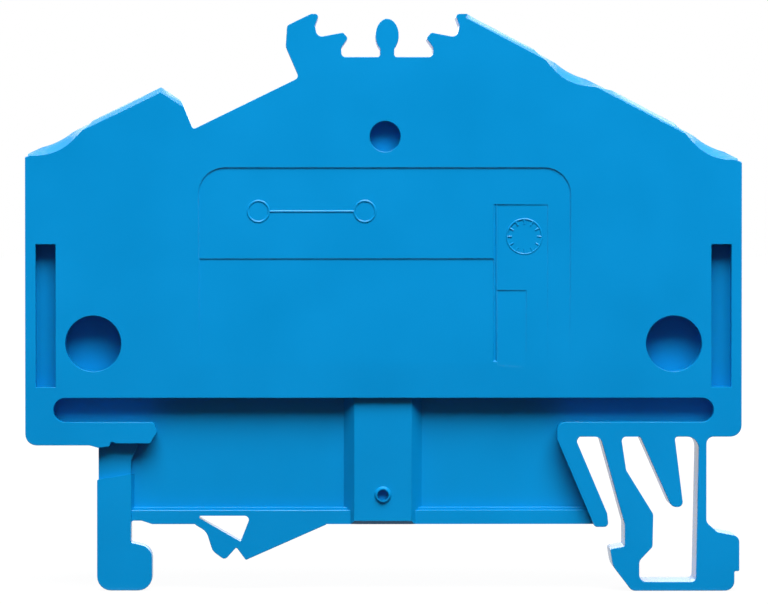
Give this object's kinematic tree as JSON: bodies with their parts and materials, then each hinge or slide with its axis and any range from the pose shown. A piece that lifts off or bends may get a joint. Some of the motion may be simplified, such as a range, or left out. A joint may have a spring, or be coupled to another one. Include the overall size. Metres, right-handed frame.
{
  "type": "feed-through terminal block",
  "caption": "Rail-mounted feed-through terminal block: blue housing open on one side, sloped conductor funnels, spring clamps on a folded current bar, hook and latch feet.",
  "frame": {"origin": "on the rail seat, at the middle of the block's length and thickness", "axes": "+X along the block towards the latch foot, +Y out of the open side, +Z away from the rail"},
  "size_m": [0.0513, 0.0066, 0.0412],
  "materials": {
    "polyamide_blue": "moulded polyamide, satin",
    "tinned_copper": "copper strip with a dull tin plating",
    "spring_steel": "rolled stainless spring strip"
  },
  "bodies": {
    "root": {"housing": "polyamide_blue", "current_bar": "tinned_copper", "clamp_spring_left": "spring_steel", "clamp_spring_right_outer": "spring_steel", "clamp_spring_right_inner": "spring_steel"}
  },
  "joints": []
}
